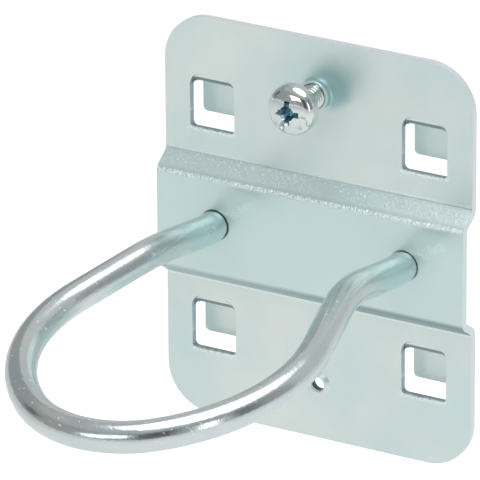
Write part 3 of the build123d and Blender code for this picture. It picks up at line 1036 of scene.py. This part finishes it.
# painted shadow and reflection: a teal patch to the upper right of the screw
recolour(zone_of(near_front, fade(from_screw, 1.15, 0.6)), SCREW_SHADOW_TEAL)
for side in (-1, 1):
    # painted reflection of the wire end on the band
    from_stub_reflection = by_stub(side, 5.4, 4.0, half_width=4.4, half_height=2.8)
    recolour(zone_of(on_band, fade(from_stub_reflection, 1.2, 0.5)), STUB_REFLECTION_TEAL, 0.2)
    # pale streaks of painted reflection beside the wire end
    for across, over in REFLECTION_STREAK_PLACES:
        from_streak = by_stub(side, across, over, half_width=1.5, half_height=0.9)
        streak = zone_of(on_band, fade(from_streak, 1.2, 0.3), fade(sparkle, 0.34, 0.66))
        recolour(streak, STREAK_REFLECTION_PALE, 0.1)
    # painted shade: a dark ring round the wire end where it meets the band
    shade_ring_radius = 2.59 - 0.03 * side
    from_stub = by_stub(side, 0, 0, shade_ring_radius, shade_ring_radius)
    recolour(zone_of(on_band, fade(from_stub, 1.02, 0.97)), STUB_RING_SHADE)
print("streaks beside each wire end:", len(REFLECTION_STREAK_PLACES))

# %% [markdown]
# Near the plate the wire carries a greener painted reflection of the plate, all over it has small painted
# glints, and the cross recess gets painted shade in a darker blue.

# %% Painted reflection on the wire ends, painted glints on the wire and painted shade in the recess
# painted reflection of the plate: the wire greener near the plate
recolour(near(wire_finish, "Y", 0, gone=24, full=10), (0.65, 0.80, 0.80))
# painted glints: small pale specks on the wire
wire_glints = fade(noise(wire_finish, 0.5 * MM, 3), 0.66, 0.72)
recolour(wire_glints, (0.95, 0.97, 0.98), 0.3)

recess_floor = head_top + RECESS_DEPTH
in_recess = zone_of(
    near(screw_finish, "Y", recess_floor + 0.4 * MM, gone=1.85, full=1.45),
    near(screw_finish, "X", 0, gone=2.5, full=2.3), near(screw_finish, "Z", SCREW_HEIGHT, gone=2.5, full=2.3),
)
# painted shade: a darker blue in the cross recess
recolour(in_recess, (0.32, 0.50, 0.56))
print("recess floor at mm", round(recess_floor / MM, 2))

# %% [markdown]
# ## The studio
# The holder floats in front of a white sweep, as in a catalogue picture. Metal shows its shape by what it
# mirrors, so the room matters more than the lamps' strength: a pale floor, a grey wall in front and at the
# sides, a wide soft lamp overhead, a softbox in front, a narrow strip lamp at the right, and dark cards where
# the camera stands, at the right and at the left. Only reflections see the wall and the cards.

# %% Floor and cards
FLOOR_HEIGHT = -0.16


def plain_surface(name, colour, camera_glow=0.0, mirror_glow=0.0):
    """A matt colour; the glows lift it towards white for the camera and for mirror images."""
    made = bpy.data.materials.new(name)
    made.use_nodes = True
    tree = made.node_tree
    shader = tree.nodes["Principled BSDF"].inputs
    plug((*colour, 1), shader["Base Color"])
    plug(0.9, shader["Roughness"])
    plug(0.0, shader["Specular IOR Level"])
    if camera_glow or mirror_glow:
        rays = add_node(tree, "LightPath", {}).outputs
        mirrored = maths(tree, "MAXIMUM", rays["Is Glossy Ray"], rays["Is Transmission Ray"])
        seen = maths(tree, "MULTIPLY", rays["Is Camera Ray"], camera_glow)
        plug((1, 1, 1, 1), shader["Emission Color"])
        plug(maths(tree, "MULTIPLY_ADD", mirrored, mirror_glow, seen), shader["Emission Strength"])
    return made


def only_in_reflections(piece):
    """Hides a stage piece from the camera and from the light; only mirror images show it."""
    piece.visible_camera = False
    piece.visible_shadow = False
    piece.visible_diffuse = False


def towards(azimuth, elevation, distance):
    """A point at this distance in a direction; azimuth 0 is the front and 90 the right."""
    a, e = radians(azimuth), radians(elevation)
    return Vector((sin(a) * cos(e), -cos(a) * cos(e), sin(e))) * distance


def facing_holder(centre, roll):
    """The turn that points an object's back along the line from the holder, rolled about it."""
    turn = (-centre).to_track_quat("-Z", "Y").to_matrix()
    return (turn @ Matrix.Rotation(radians(roll), 3, "Z")).to_euler()


start_clean()
bpy.ops.mesh.primitive_plane_add(size=6, location=(0, 0, FLOOR_HEIGHT))
floor = bpy.context.object
floor.name = "studio_floor"
dress(floor, plain_surface("white_floor", (0.86, 0.87, 0.87), 0.5, 0.1))

WALL_RADIUS, WALL_LOW, WALL_CHANGE, WALL_HIGH = 1.5, 0.0, 1.5, 2.3


def behind(point):
    """True for the pale part of the room, behind the holder and to its right."""
    return point.y > 0.75 * WALL_RADIUS or point.x > 0 and point.y > 0.5 * WALL_RADIUS


def room_wall(name, low, high, glow, kept, roofed=False):
    """A tier of the round wall, as far as the test keeps it; a roofed tier has a ceiling."""
    start_clean()
    bpy.ops.mesh.primitive_cylinder_add(
        vertices=72, radius=WALL_RADIUS, depth=high - low, end_fill_type="TRIFAN" if roofed else "NOTHING",
        location=(0, 0, (high + low) / 2),
    )
    wall = keep(name)

    def unwanted(middle, corners):
        if middle.z > high - TINY:
            return False
        return middle.z < low + TINY or not kept(middle)

    pick(wall, "polygons", unwanted)
    bpy.ops.mesh.delete(type="FACE")
    edit_done()
    dress(wall, plain_surface(name + "_paint", (0, 0, 0), 0, glow))
    only_in_reflections(wall)
    return len(wall.data.polygons)


wall_faces = [
    room_wall("grey_room_wall", WALL_LOW, WALL_CHANGE, 0.33, lambda point: not behind(point)),
    room_wall("light_room_wall", WALL_CHANGE, WALL_HIGH, 0.45, lambda point: not behind(point), roofed=True),
    room_wall("pale_back_wall", WALL_LOW, WALL_HIGH, 0.58, behind),
]

CARD_DISTANCE = 1.3
for name, azimuth, elevation, size, shade in (
    ("dark_camera_card", 36, 20.5, (0.6, 0.82), 0.06),
    ("dark_right_card", 88, 21, (0.34, 0.9), 0.16),
    ("dark_left_card", -76, 19, (0.4, 0.4), 0.08),
):
    centre = towards(azimuth, elevation, CARD_DISTANCE)
    start_clean()
    bpy.ops.mesh.primitive_plane_add(size=1, location=centre)
    card = bpy.context.object
    card.name = name
    card.scale = (*size, 1)
    card.rotation_euler = facing_holder(centre, 0)
    dress(card, plain_surface(name + "_face", (0, 0, 0), 0, shade))
    only_in_reflections(card)
print("floor at mm", FLOOR_HEIGHT / MM, "wall faces", wall_faces)

# %% Lamps and the white surround
def soft_lamp(name, centre, size, shine, roll=0.0, shape="RECTANGLE"):
    """An area lamp that faces the holder; shine is the brightness of its face."""
    start_clean()
    bpy.ops.object.light_add(type="AREA", location=centre)
    lamp = bpy.context.object
    lamp.name = name
    lamp.data.shape = shape
    lamp.data.size, lamp.data.size_y = size
    lamp.data.energy = 4 * size[0] * size[1] * shine
    lamp.rotation_euler = facing_holder(Vector(centre), roll)
    return lamp


overhead = soft_lamp("overhead_softbox", (0.22, 0.1, 1.0), (1.0, 1.06), 1.35, shape="ELLIPSE")
overhead.rotation_euler = (0, 0, 0)
soft_lamp("front_softbox", towards(-3, 21, 1.2), (0.72, 0.34), 1.7, roll=20)
soft_lamp("right_strip", towards(67, 14, 1.2), (0.16, 0.68), 1.8)

SKY_LIGHT, SKY_SEEN = 0.5, 1.0
world = bpy.data.worlds.new("white_studio")
bpy.context.scene.world = world
world.use_nodes = True
tree = world.node_tree
sky = tree.nodes["Background"].inputs
rays = add_node(tree, "LightPath", {}).outputs
mirror = maths(tree, "MAXIMUM", rays["Is Camera Ray"], rays["Is Glossy Ray"])
seen = maths(tree, "MAXIMUM", mirror, rays["Is Transmission Ray"])
level = add_node(tree, "MapRange", {"Value": seen, "To Min": SKY_LIGHT, "To Max": SKY_SEEN})
plug((1, 1, 1, 1), sky["Color"])
plug(level.outputs["Result"], sky["Strength"])

# %% [markdown]
# ## The camera
# The photograph was taken with a long lens from the right, a little above. Matching about 250 edge points of
# the plate gave the direction, the distance and the lens, so the camera is placed from those numbers.

# %% Camera at the photograph's angle
VIEW_AZIMUTH, VIEW_ELEVATION, VIEW_ROLL = radians(29.854), radians(22.935), radians(-0.4275)
FOCAL_PIXELS, FRAME_PIXELS, SENSOR = 6951.98, 480, 36.0
VIEW_DISTANCE = 1.09244
AIM = Vector((0, -1.25, 4.638)) * MM
AIM_PIXEL = (317.517, 213.805)

right = Vector((cos(VIEW_AZIMUTH), sin(VIEW_AZIMUTH), 0))
away = Vector((-sin(VIEW_AZIMUTH), cos(VIEW_AZIMUTH), 0))
up = away * sin(VIEW_ELEVATION) + Vector((0, 0, cos(VIEW_ELEVATION)))
back = right.cross(up)
rolled_right = right * cos(VIEW_ROLL) + up * sin(VIEW_ROLL)
rolled_up = up * cos(VIEW_ROLL) - right * sin(VIEW_ROLL)
aside = (AIM_PIXEL[0] - FRAME_PIXELS / 2) / FOCAL_PIXELS * VIEW_DISTANCE
below = (AIM_PIXEL[1] - FRAME_PIXELS / 2) / FOCAL_PIXELS * VIEW_DISTANCE

camera_data = bpy.data.cameras.new("photo_camera")
camera_data.sensor_width = SENSOR
camera_data.lens = FOCAL_PIXELS * SENSOR / FRAME_PIXELS
camera_data.clip_start, camera_data.clip_end = 0.01, 50
camera = bpy.data.objects.new("photo_camera", camera_data)
bpy.context.scene.collection.objects.link(camera)
turn = Matrix((rolled_right, rolled_up, back)).transposed().to_4x4()
spot = AIM - rolled_right * aside + rolled_up * below + back * VIEW_DISTANCE
camera.matrix_world = Matrix.Translation(spot) @ turn
bpy.context.scene.camera = camera
bpy.context.scene.view_settings.view_transform = "Standard"
print("camera at mm", [round(c / MM, 1) for c in spot], "lens", round(camera_data.lens, 1))
